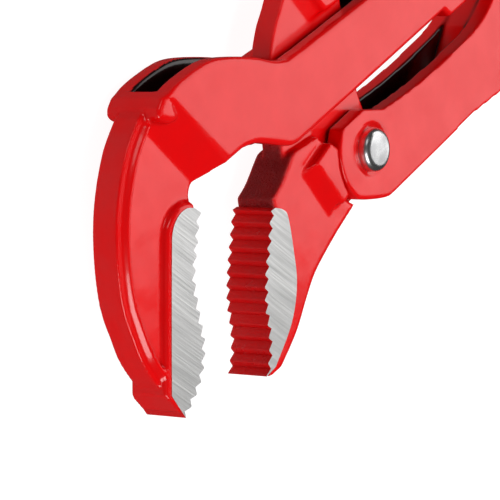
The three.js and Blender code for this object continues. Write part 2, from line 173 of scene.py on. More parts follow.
@dataclass(frozen=True)
class ToothRow:
    """Saw teeth along a smooth line, with their tips on the line."""

    line: tuple[Point, ...]
    count: int
    depth: float = 1.4
    crest: float = 0.12
    root: float = 0.7
    edge: float = 0.12

    def outline(self) -> Outline:
        """Draws the zigzag of the row, tip by tip.

        Returns:
            The points of the zigzag along the line.
        """
        fine = smooth_line(self.line, 40)
        lengths = [0.0]
        for (x0, y0), (x1, y1) in zip(fine, fine[1:]):
            lengths.append(lengths[-1] + math.hypot(x1 - x0, y1 - y0))
        row: Outline = []
        for i in range(self.count):
            row.append(self._at(fine, lengths, i / self.count, 0.0))
            row.append(self._at(fine, lengths, (i + self.crest) / self.count, 0.0))
            row.append(self._at(fine, lengths, (i + self.root) / self.count, self.depth))
        row.append(fine[-1])
        return row

    def behind(self, distance: float) -> Outline:
        """Returns the row's smooth line set back into the steel by a distance."""
        return set_off(smooth_line(self.line, 6), distance)

    def _at(self, fine: Outline, lengths: list[float], share: float, depth: float) -> Point:
        """Finds a point of the row.

        Args:
            fine: The smooth line in short pieces.
            lengths: Length along the line up to each of its points.
            share: Share of the line's length where the point lies.
            depth: How far the point is pushed into the steel.

        Returns:
            The point in millimetres.
        """
        wanted = share * lengths[-1]
        i = next(k for k in range(1, len(lengths)) if lengths[k] >= wanted)
        (x0, y0), (x1, y1) = fine[i - 1], fine[i]
        step = lengths[i] - lengths[i - 1]
        t = (wanted - lengths[i - 1]) / step
        nx, ny = (y1 - y0) / step, -(x1 - x0) / step
        return x0 + (x1 - x0) * t + nx * depth, y0 + (y1 - y0) * t + ny * depth


# ---- Solids --------------------------------------------------------------------------------


def plate(
    outline: Sequence[Point],
    low: float,
    high: float,
    rounding: float = 0.0,
    rounded: Callable[[Vector], bool] = lambda middle: True,
) -> bmesh.types.BMesh:
    """Makes a plate with rounded rims.

    Args:
        outline: The plate's outline in millimetres.
        low: Height of its lower face from the mid-plane.
        high: Height of its upper face from the mid-plane.
        rounding: Radius of its rims.
        rounded: Says from a rim edge's middle whether that edge is rounded.

    Returns:
        A closed bmesh in metres.
    """
    bm = bmesh.new()
    ring = [bm.verts.new((x * MM, y * MM, MID_Z + low * MM)) for x, y in outline]
    bm.faces.new(ring)
    lifted = bmesh.ops.extrude_face_region(bm, geom=bm.faces[:])
    top = [v for v in lifted["geom"] if isinstance(v, bmesh.types.BMVert)]
    bmesh.ops.translate(bm, verts=top, vec=(0, 0, (high - low) * MM))
    bmesh.ops.recalc_face_normals(bm, faces=bm.faces[:])
    if rounding:
        rims = [e for e in bm.edges if abs(e.verts[0].co.z - e.verts[1].co.z) < 1e-7]
        rims = [e for e in rims if rounded((e.verts[0].co + e.verts[1].co) / 2 / MM)]
        bmesh.ops.bevel(bm, geom=rims, offset=rounding * MM, offset_type="OFFSET", segments=3,
                        profile=0.5, affect="EDGES", material=-1, clamp_overlap=False)
    return bm


def crowned(outline: Sequence[Point], inner: Sequence[Point], half: float,
            shoulder: float) -> bmesh.types.BMesh:
    """Makes a rib whose outer side bulges to a crest line.

    Args:
        outline: The rib's crest line, its outermost line on the mid-plane.
        inner: The rib's inner line, point for point against the crest line.
        half: Half thickness of the rib.
        shoulder: How far the flat top's edge lies inside the crest line.

    Returns:
        A closed bmesh in metres.
    """
    profile = [(1.0, -1.0), (0.2, -0.5), (0.0, 0.0), (0.2, 0.5), (1.0, 1.0)]
    bm = bmesh.new()
    rings = []
    for (x, y), (u, v) in zip(outline, inner):
        length = math.hypot(u - x, v - y)
        nx, ny = (u - x) / length, (v - y) / length
        ring = []
        for share, height in profile:
            depth = shoulder * share
            ring.append(bm.verts.new(((x + nx * depth) * MM, (y + ny * depth) * MM,
                                      MID_Z + half * height * MM)))
        ring.append(bm.verts.new((u * MM, v * MM, MID_Z + half * MM)))
        ring.append(bm.verts.new((u * MM, v * MM, MID_Z - half * MM)))
        rings.append(ring)
    for first, second in zip(rings, rings[1:]):
        for i in range(len(first)):
            j = (i + 1) % len(first)
            bm.faces.new((first[i], first[j], second[j], second[i]))
    bm.faces.new(rings[0])
    bm.faces.new(list(reversed(rings[-1])))
    bmesh.ops.recalc_face_normals(bm, faces=bm.faces[:])
    return bm


def layer(outline: Sequence[Point], half: float, rounding: float = 0.0) -> bmesh.types.BMesh:
    """Makes a plate centred on the mid-plane."""
    return plate(outline, -half, half, rounding)


def both_sides(outline: Sequence[Point], inner: float, outer: float,
               rounding: float = 0.0) -> list[bmesh.types.BMesh]:
    """Makes the same plate above and below the mid-plane.

    Args:
        outline: The plates' outline in millimetres.
        inner: Height where they begin.
        outer: Height where they end.
        rounding: Radius of their rims.

    Returns:
        The upper and the lower plate.
    """
    return [plate(outline, low, high, rounding) for low, high in ((inner, outer), (-outer, -inner))]


def slope(high_line: Sequence[Point], low_line: Sequence[Point], high: float, low: float, foot: float,
          side: int) -> bmesh.types.BMesh:
    """Makes a sloping shoulder on one side of the mid-plane.

    Args:
        high_line: Two points where it is thickest.
        low_line: Two points where it is thinnest.
        high: Height along the first line.
        low: Height along the second line.
        foot: Height of its flat foot.
        side: 1 above the mid-plane, -1 below it.

    Returns:
        A closed bmesh in metres.
    """
    bm = bmesh.new()
    for line, top in ((high_line, high), (low_line, low)):
        for x, y in line:
            for level in (top, foot):
                bm.verts.new((x * MM, y * MM, MID_Z + side * level * MM))
    bmesh.ops.convex_hull(bm, input=bm.verts[:])
    bmesh.ops.recalc_face_normals(bm, faces=bm.faces[:])
    return bm


class Axis(Enum):
    """Directions that turned pieces are made along."""

    X = "x"
    Y = "y"
    Z = "z"


def turned(profile: Sequence[Point], axis: Axis, centre: Vector, steps: int = 64) -> bmesh.types.BMesh:
    """Spins a profile into a turned piece.

    Args:
        profile: Points of radius and place along the axis, in millimetres, from axis to axis.
        axis: Direction of the piece's axis.
        centre: Point on the axis where the place along it is zero, in metres.
        steps: Facets round the piece.

    Returns:
        A closed bmesh in metres.
    """
    bm = bmesh.new()
    verts = [bm.verts.new((r * MM, 0, h * MM)) for r, h in profile]
    edges = [bm.edges.new(pair) for pair in zip(verts, verts[1:])]
    bmesh.ops.spin(bm, geom=verts + edges, cent=(0, 0, 0), axis=(0, 0, 1), angle=2 * math.pi,
                   steps=steps, use_merge=True)
    bmesh.ops.remove_doubles(bm, verts=bm.verts[:], dist=1e-6)
    turn = {
        Axis.X: Matrix.Rotation(math.pi / 2, 4, "Y"),
        Axis.Y: Matrix.Rotation(-math.pi / 2, 4, "X"),
        Axis.Z: Matrix.Identity(4),
    }[axis]
    bmesh.ops.transform(bm, matrix=Matrix.Translation(centre) @ turn, verts=bm.verts[:])
    bmesh.ops.recalc_face_normals(bm, faces=bm.faces[:])
    return bm


def rod(radius: float, low: float, high: float, axis: Axis, centre: Vector,
        chamfer: float = 0.0) -> bmesh.types.BMesh:
    """Makes a round bar.

    Args:
        radius: Radius in millimetres.
        low: Place along the axis where it begins.
        high: Place along the axis where it ends.
        axis: Direction of the bar's axis.
        centre: Point on the axis where the place along it is zero, in metres.
        chamfer: Chamfer of both ends.

    Returns:
        A closed bmesh in metres.
    """
    profile = [(0, low), (radius - chamfer, low), (radius, low + chamfer),
               (radius, high - chamfer), (radius - chamfer, high), (0, high)]
    return turned(profile if chamfer else [profile[i] for i in (0, 2, 3, 5)], axis, centre)


def joined(parts: Iterable[bmesh.types.BMesh], name: str) -> bpy.types.Object:
    """Puts several solids into one object's mesh.

    Args:
        parts: The solids, which are freed.
        name: The object's name.

    Returns:
        The object, linked to the scene.
    """
    mesh = bpy.data.meshes.new(name)
    whole = bmesh.new()
    for part in parts:
        part.to_mesh(mesh)
        part.free()
        whole.from_mesh(mesh)
    whole.to_mesh(mesh)
    whole.free()
    piece = bpy.data.objects.new(name, mesh)
    bpy.context.scene.collection.objects.link(piece)
    return piece


def with_modifiers_applied(piece: bpy.types.Object) -> None:
    """Turns what the modifiers show into the piece's own mesh.

    Args:
        piece: The piece, which loses its modifiers.
    """
    graph = bpy.context.evaluated_depsgraph_get()
    made = bpy.data.meshes.new_from_object(piece.evaluated_get(graph))
    old = piece.data
    piece.modifiers.clear()
    piece.data = made
    made.name = piece.name
    bpy.data.meshes.remove(old)


def fused(parts: Iterable[bmesh.types.BMesh], name: str,
          cutters: Iterable[bmesh.types.BMesh] = ()) -> bpy.types.Object:
    """Forges overlapping solids into one body with soft edges, then machines it.

    Args:
        parts: Closed solids that overlap where they join.
        name: The piece's name.
        cutters: Closed solids that are cut away after the edges are soft.

    Returns:
        The piece as one closed mesh.
    """
    piece = joined(parts, name)
    skin_over(piece)
    tools = [joined([cutter], f"{name}_cutter") for cutter in cutters]
    if tools:
        for tool in tools:
            cut = piece.modifiers.new("cut", "BOOLEAN")
            cut.operation = "DIFFERENCE"
            cut.solver = "MANIFOLD"
            cut.object = tool
        with_modifiers_applied(piece)
        piece.data.materials.clear()
        skin_over(piece)
    for tool in tools:
        bpy.data.objects.remove(tool)
    soft = piece.modifiers.new("soft", "SMOOTH")
    soft.factor = 0.5
    soft.iterations = VOXELS.smoothing
    with_modifiers_applied(piece)
    triangles = 2 * len(piece.data.polygons)
    if triangles > VOXELS.most_triangles:
        thin = piece.modifiers.new("thin", "DECIMATE")
        thin.ratio = VOXELS.most_triangles / triangles
        with_modifiers_applied(piece)
    return piece


def skin_over(piece: bpy.types.Object) -> None:
    """Replaces a piece's mesh by one even skin round everything in it.

    Args:
        piece: The piece to skin over.
    """
    skin = piece.modifiers.new("skin", "REMESH")
    skin.mode = "VOXEL"
    skin.voxel_size = VOXELS.size * MM
    with_modifiers_applied(piece)


def toothed_block(row: ToothRow, back: Sequence[Point], name: str) -> bpy.types.Object:
    """Makes a jaw's toothed block with crisp teeth; its flat flanks get material slot 1.

    Args:
        row: The teeth.
        back: Line where the ground flank ends, from the row's end to its start.
        name: The block's name.

    Returns:
        The block as one closed mesh.
    """
    bm = layer([*row.outline(), *back], LAYERS.jaw)
    teeth = [e for e in bm.edges if abs(e.verts[0].co.z - e.verts[1].co.z) > 1e-4]
    bmesh.ops.bevel(bm, geom=teeth, offset=row.edge * MM, offset_type="OFFSET", segments=2, profile=0.5,
                    affect="EDGES", material=-1, clamp_overlap=True)
    bmesh.ops.triangulate(bm, faces=bm.faces[:])
    for face in bm.faces:
        face.material_index = 1 if abs(face.normal.z) > 0.9 else 0
    return joined([bm], name)


def finish_piece(piece: bpy.types.Object, body: Body, node: str,
                 materials: Sequence[bpy.types.Material], crease: float = 40.0) -> None:
    """Shades a piece, dresses it and fixes it to the frame.

    Args:
        piece: The finished piece.
        body: Body that it rides on.
        node: CAD node that it stands for.
        materials: Its materials in slot order.
        crease: Angle in degrees from which an edge stays sharp.
    """
    for material in materials:
        piece.data.materials.append(material)
    piece.data.shade_smooth()
    piece.data.set_sharp_from_angle(angle=math.radians(crease))
    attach(piece, body.value)
    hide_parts(node)
    log.info("%s: %d faces on %s", piece.name, len(piece.data.polygons), body.value)


# ---- Finishes ------------------------------------------------------------------------------


class NodeSheet:
    """Short way to add and link the nodes of one tree."""

    def __init__(self, tree: bpy.types.NodeTree) -> None:
        """Keeps the tree that nodes go into."""
        self.tree = tree

    def add(self, kind: str, **settings: object) -> bpy.types.Node:
        """Adds a node.

        Args:
            kind: The node's type.
            settings: The node's own settings by name.

        Returns:
            The node.
        """
        node = self.tree.nodes.new(kind)
        for name, value in settings.items():
            setattr(node, name, value)
        return node

    def feed(self, socket: bpy.types.NodeSocket, source: object) -> None:
        """Gives an input its value.

        Args:
            socket: The input.
            source: Another socket to link, or a plain value.
        """
        if isinstance(source, bpy.types.NodeSocket):
            self.tree.links.new(source, socket)
        else:
            socket.default_value = source

    def maths(self, operation: str, *values: object) -> bpy.types.NodeSocket:
        """Adds a Math node.

        Args:
            operation: What it does.
            values: Its inputs, as sockets or numbers.

        Returns:
            Its result.
        """
        node = self.add("ShaderNodeMath", operation=operation)
        for socket, value in zip(node.inputs, values):
            self.feed(socket, value)
        return node.outputs[0]

    def noise(self, vector: bpy.types.NodeSocket, scale: object, detail: float = 3.0,
              roughness: float = 0.5) -> bpy.types.NodeSocket:
        """Adds a Noise Texture.

        Args:
            vector: Where it is read.
            scale: Its scale, as a socket or number.
            detail: Its octaves.
            roughness: How strong the finer octaves are.

        Returns:
            Its value.
        """
        node = self.add("ShaderNodeTexNoise")
        self.feed(node.inputs["Vector"], vector)
        self.feed(node.inputs["Scale"], scale)
        node.inputs["Detail"].default_value = detail
        node.inputs["Roughness"].default_value = roughness
        return node.outputs[0]

    def spread(self, value: bpy.types.NodeSocket, low: float, high: float, to_low: float = 0.0,
               to_high: float = 1.0) -> bpy.types.NodeSocket:
        """Adds a clamped Map Range.

        Args:
            value: The value to spread.
            low: Value that gives to_low.
            high: Value that gives to_high.
            to_low: Result at low.
            to_high: Result at high.

        Returns:
            Its result.
        """
        node = self.add("ShaderNodeMapRange")
        for name, number in zip(("From Min", "From Max", "To Min", "To Max"), (low, high, to_low, to_high)):
            node.inputs[name].default_value = number
        self.feed(node.inputs["Value"], value)
        return node.outputs[0]

    def bump(self, shader: bpy.types.Node, height: object, strength: float, distance: float) -> None:
        """Presses a height into a shader's normal.

        Args:
            shader: The shader.
            height: Socket of the height.
            strength: Strength of the bump.
            distance: Depth of a height of one, in metres.
        """
        node = self.add("ShaderNodeBump")
        node.inputs["Strength"].default_value = strength
        node.inputs["Distance"].default_value = distance
        self.feed(node.inputs["Height"], height)
        self.feed(shader.inputs["Normal"], node.outputs[0])

    def relief(self, place: object, wave: float, grain: float, share: float) -> bpy.types.Node:
        """Places the relief group.

        Args:
            place: Where it is read.
            wave: Scale of its slow waves.
            grain: Scale of its fine grain.
            share: Share of the grain in the height.

        Returns:
            The group's node.
        """
        node = self.add("ShaderNodeGroup", node_tree=GROUPS["relief"])
        self.feed(node.inputs["Vector"], place)
        for label, value in (("Wave Scale", wave), ("Grain Scale", grain), ("Grain Share", share)):
            node.inputs[label].default_value = value
        return node

    def blend(self, share: object, first: object, second: object) -> bpy.types.NodeSocket:
        """Adds a colour Mix.

        Args:
            share: Share of the second colour.
            first: Colour at zero.
            second: Colour at one.

        Returns:
            Its colour.
        """
        node = self.add("ShaderNodeMix", data_type="RGBA")
        self.feed(node.inputs["Factor"], share)
        self.feed(node.inputs[6], first)
        self.feed(node.inputs[7], second)
        return node.outputs[2]


def new_group(name: str, inputs: dict[str, tuple[str, object]],
              outputs: dict[str, str]) -> bpy.types.NodeTree:
    """Starts a shader node group.

    Args:
        name: The group's name.
        inputs: Kind and default of each input, by name.
        outputs: Kind of each output, by name.

    Returns:
        The empty group with its sockets.
    """
    group = bpy.data.node_groups.new(name, "ShaderNodeTree")
    for label, (kind, default) in inputs.items():
        socket = group.interface.new_socket(label, in_out="INPUT", socket_type=kind)
        if default is not None:
            socket.default_value = default
    for label, kind in outputs.items():
        group.interface.new_socket(label, in_out="OUTPUT", socket_type=kind)
    return group


def surface_relief_group() -> bpy.types.NodeTree:
    """Makes the group for a forging's slow waves and fine grain.

    Returns:
        The group, which puts out a height and a mask of patches.
    """
    group = new_group(
        "surface_relief",
        {
            "Vector": ("NodeSocketVector", None),
            "Wave Scale": ("NodeSocketFloat", 45.0),
            "Grain Scale": ("NodeSocketFloat", 900.0),
            "Grain Share": ("NodeSocketFloat", 0.25),
        },
        {"Height": "NodeSocketFloat", "Mask": "NodeSocketFloat"},
    )
    sheet = NodeSheet(group)
    enter = sheet.add("NodeGroupInput")
    leave = sheet.add("NodeGroupOutput")
    wave = sheet.noise(enter.outputs["Vector"], enter.outputs["Wave Scale"], 2.0)
    grain = sheet.noise(enter.outputs["Vector"], enter.outputs["Grain Scale"], 3.0, 0.6)
    fine = sheet.maths("MULTIPLY", grain, enter.outputs["Grain Share"])
    sheet.feed(leave.inputs["Height"], sheet.maths("ADD", wave, fine))
    patches = sheet.noise(enter.outputs["Vector"], 130.0, 4.0, 0.6)
    sheet.feed(leave.inputs["Mask"], sheet.spread(patches, 0.35, 0.65))
    return group


def scratches_group() -> bpy.types.NodeTree:
    """Makes the group for parallel scratches.

    Returns:
        The group, which puts out fine streaks and broad bands.
    """
    group = new_group(
        "parallel_scratches",
        {"Vector": ("NodeSocketVector", None), "Along": ("NodeSocketFloat", 30.0),
         "Across": ("NodeSocketFloat", 1500.0)},
        {"Value": "NodeSocketFloat", "Bands": "NodeSocketFloat"},
    )
    sheet = NodeSheet(group)
    enter = sheet.add("NodeGroupInput")
    leave = sheet.add("NodeGroupOutput")
    parts = sheet.add("ShaderNodeSeparateXYZ")
    sheet.feed(parts.inputs[0], enter.outputs["Vector"])
    along = sheet.maths("MULTIPLY", parts.outputs[0], enter.outputs["Along"])
    across = sheet.maths("MULTIPLY", parts.outputs[1], enter.outputs["Across"])
    for label, share in (("Value", 1.0), ("Bands", 0.22)):
        place = sheet.add("ShaderNodeCombineXYZ")
        sheet.feed(place.inputs[0], along)
        sheet.feed(place.inputs[1], sheet.maths("MULTIPLY", across, share))
        sheet.feed(place.inputs[2], parts.outputs[2])
        sheet.feed(leave.inputs[label], sheet.noise(place.outputs[0], 1.0, 3.0, 0.55))
    return group


GROUPS = {"relief": surface_relief_group(), "scratches": scratches_group()}


@dataclass(frozen=True)
class Enamel:
    """Glossy stove enamel over a forging, with a rough stretch where the attribute says so, and painted shade
    in concave creases, on that stretch's narrow sides and inside slots and channels.
    """

    name: str
    colour: tuple[float, float, float] = (0.74, 0.001, 0.002)
    # Darker red used as painted shade in concave creases and for random darker patches of the paint.
    shade_and_patch_red: tuple[float, float, float] = (0.55, 0.0008, 0.0015)
    # Dark red of the rough scale stretch, which also serves as painted shade on the narrow sides.
    forged: tuple[float, float, float] = (0.2, 0.0015, 0.003)
    # Near-black red painted as shade on the faces inside slots and channels.
    slot_shade_red: tuple[float, float, float] = (0.012, 0.0006, 0.0008)
    roughness: float = 0.2

    def material(self) -> bpy.types.Material:
        """Mixes the finish.

        Returns:
            The finish as a material.
        """
        material, sheet, shader, place = start_material(self.name)
        relief = sheet.relief(place, 60.0, 700.0, 0.05)
        edge = sheet.add("ShaderNodeNewGeometry")
        # Painted shade: concave places, found by pointiness, darken to the deeper red, along with random
        # darker patches.
        hollow_shade = sheet.spread(edge.outputs["Pointiness"], 0.42, 0.5, 1.0, 0.0)
        hollow_shade_and_patches = sheet.maths("MAXIMUM", hollow_shade, sheet.maths("MULTIPLY", relief.outputs["Mask"], 0.25))
        scale = sheet.add("ShaderNodeAttribute", attribute_name="forge_scale_and_side_shade")
        slot_shade = sheet.add("ShaderNodeAttribute", attribute_name="slot_shade")
        paint = sheet.blend(hollow_shade_and_patches, (*self.colour, 1), (*self.shade_and_patch_red, 1))
        # Partly real scale, partly painted shade: the marked narrow sides turn dark red, and below they also
        # get pits and extra roughness.
        forged = sheet.blend(sheet.maths("MULTIPLY", scale.outputs["Fac"], 0.85), paint, (*self.forged, 1))
        # Painted shade: faces inside slots and channels, marked by the attribute, turn near black.
        sheet.feed(shader.inputs["Base Color"], sheet.blend(slot_shade.outputs["Fac"], forged, (*self.slot_shade_red, 1)))
        pitted = sheet.noise(place, 1500.0, 4.0, 0.7)
        pits = sheet.maths("MULTIPLY", pitted, sheet.maths("MULTIPLY", scale.outputs["Fac"], 2.2))
        sheet.bump(shader, sheet.maths("ADD", relief.outputs["Height"], pits), 1.0, 0.0004)
        rough = sheet.spread(relief.outputs["Mask"], 0.0, 1.0, self.roughness - 0.03, self.roughness + 0.05)
        rougher = sheet.maths("MULTIPLY", scale.outputs["Fac"], 0.1)
        sheet.feed(shader.inputs["Roughness"], sheet.maths("ADD", rough, rougher))
        shader.inputs["Coat Weight"].default_value = 0.3
        shader.inputs["Coat Roughness"].default_value = 0.05
        return material


@dataclass(frozen=True)
class GroundSteel:
    """Bare steel off a belt grinder, with parallel scratches."""

    name: str
    angle: float = GRIND_ANGLE
    light: tuple[float, float, float] = (0.93, 0.92, 0.91)
    dark: tuple[float, float, float] = (0.68, 0.68, 0.67)
    roughness: float = 0.34

    def material(self) -> bpy.types.Material:
        """Mixes the finish.

        Returns:
            The finish as a material.
        """
        material, sheet, shader, place = start_material(self.name)
        turn = sheet.add("ShaderNodeMapping")
        turn.inputs["Rotation"].default_value = (0.0, 0.0, -self.angle)
        sheet.feed(turn.inputs["Vector"], place)
        lines = sheet.add("ShaderNodeGroup", node_tree=GROUPS["scratches"])
        sheet.feed(lines.inputs["Vector"], turn.outputs[0])
        share = sheet.spread(lines.outputs["Bands"], 0.3, 0.7)
        fine = sheet.spread(lines.outputs["Value"], 0.35, 0.65)
        both = sheet.maths("ADD", sheet.maths("MULTIPLY", share, 0.5), sheet.maths("MULTIPLY", fine, 0.5))
        sheet.feed(shader.inputs["Base Color"], sheet.blend(both, (*self.light, 1), (*self.dark, 1)))
        sheet.feed(shader.inputs["Roughness"],
                   sheet.spread(both, 0.0, 1.0, self.roughness - 0.08, self.roughness + 0.12))
        shader.inputs["Metallic"].default_value = 0.8
        sheet.bump(shader, both, 0.6, 0.00006)
        return material


@dataclass(frozen=True)
class TurnedSteel:
    """Plain steel of a small part, with stains and a fine grain."""

    name: str
    light: tuple[float, float, float]
    dark: tuple[float, float, float]
    roughness: float
    grain: float = 1200.0

    def material(self) -> bpy.types.Material:
        """Mixes the finish.

        Returns:
            The finish as a material.
        """
        material, sheet, shader, place = start_material(self.name)
        relief = sheet.relief(place, 260.0, self.grain, 0.4)
        mask = relief.outputs["Mask"]
        sheet.feed(shader.inputs["Base Color"], sheet.blend(mask, (*self.light, 1), (*self.dark, 1)))
        sheet.feed(shader.inputs["Roughness"],
                   sheet.spread(mask, 0.0, 1.0, self.roughness, self.roughness + 0.15))
        shader.inputs["Metallic"].default_value = 1.0
        sheet.bump(shader, relief.outputs["Height"], 0.5, 0.00008)
        return material


def start_material(name: str) -> tuple[bpy.types.Material, NodeSheet, bpy.types.Node, bpy.types.NodeSocket]:
    """Starts a material.

    Args:
        name: The material's name.

    Returns:
        The material, its node sheet, its Principled BSDF and the Object coordinates.
    """
    material = bpy.data.materials.new(name)
    material.use_nodes = True
    sheet = NodeSheet(material.node_tree)
    shader = material.node_tree.nodes["Principled BSDF"]
    place = sheet.add("ShaderNodeTexCoord").outputs["Object"]
    return material, sheet, shader, place


@dataclass
class Finishes:
    """Every finish of the wrench, made once."""

    enamel: bpy.types.Material = field(default_factory=lambda: Enamel("red_enamel").material())
    ground: bpy.types.Material = field(default_factory=lambda: GroundSteel("ground_steel").material())
    bright: bpy.types.Material = field(default_factory=lambda: TurnedSteel(
        "bright_rivet_steel", (0.86, 0.86, 0.86), (0.66, 0.66, 0.67), 0.2).material())
    oiled: bpy.types.Material = field(default_factory=lambda: TurnedSteel(
        "oiled_nut_steel", (0.26, 0.26, 0.27), (0.12, 0.12, 0.13), 0.32).material())
    plain: bpy.types.Material = field(default_factory=lambda: TurnedSteel(
        "plain_pin_steel", (0.52, 0.52, 0.53), (0.34, 0.34, 0.35), 0.3).material())
    blued: bpy.types.Material = field(default_factory=lambda: TurnedSteel(
        "blued_spring_steel", (0.22, 0.25, 0.32), (0.12, 0.13, 0.17), 0.26).material())


def add_slot_shade(piece: bpy.types.Object, depth: float) -> None:
    """Marks the faces that look at each other across the mid-plane inside slots and channels, which the enamel
    paints near black as painted shade.

    Args:
        piece: The forging.
        depth: Height from the mid-plane of the slot's walls, in millimetres.
    """
    # Painted shade: faces near the slot's walls that face the mid-plane get the near-black enamel colour.
    slot_shade = piece.data.attributes.new("slot_shade", "FLOAT", "POINT")
    values = []
    for vertex in piece.data.vertices:
        height = (vertex.co.z - MID_Z) / MM
        facing = max(0.0, -vertex.normal.z * height / max(abs(height), 0.1))
        values.append(min(1.0, 2.0 * facing) if abs(height) < depth + 0.6 else 0.0)
    slot_shade.data.foreach_set("value", values)


def add_forge_scale_and_side_shade(piece: bpy.types.Object, centre: Point, radius: float, most: float = 1.0) -> None:
    """Marks the rough as-forged stretch of a piece's narrow sides, which the enamel also darkens there as
    painted shade.

    Args:
        piece: The forging.
        centre: Middle of the stretch, in millimetres.
        radius: How far the stretch reaches, in millimetres.
        most: Strength of the scale and of its painted shade in the middle.
    """
    scale = piece.data.attributes.new("forge_scale_and_side_shade", "FLOAT", "POINT")
    middle = Vector((centre[0], centre[1], 0)) * MM
    values = []
    for vertex in piece.data.vertices:
        flat = Vector((vertex.co.x, vertex.co.y, 0))
        near = max(0.0, 1.0 - (flat - middle).length / (radius * MM))
        # Only sideways-facing faces are marked, so the darkening there is painted shade as well as rough
        # scale.
        values.append(min(most, 2.5 * near) * (1.0 - abs(vertex.normal.z)))
    scale.data.foreach_set("value", values)


# ---- Sub-assemblies ------------------------------------------------------------------------


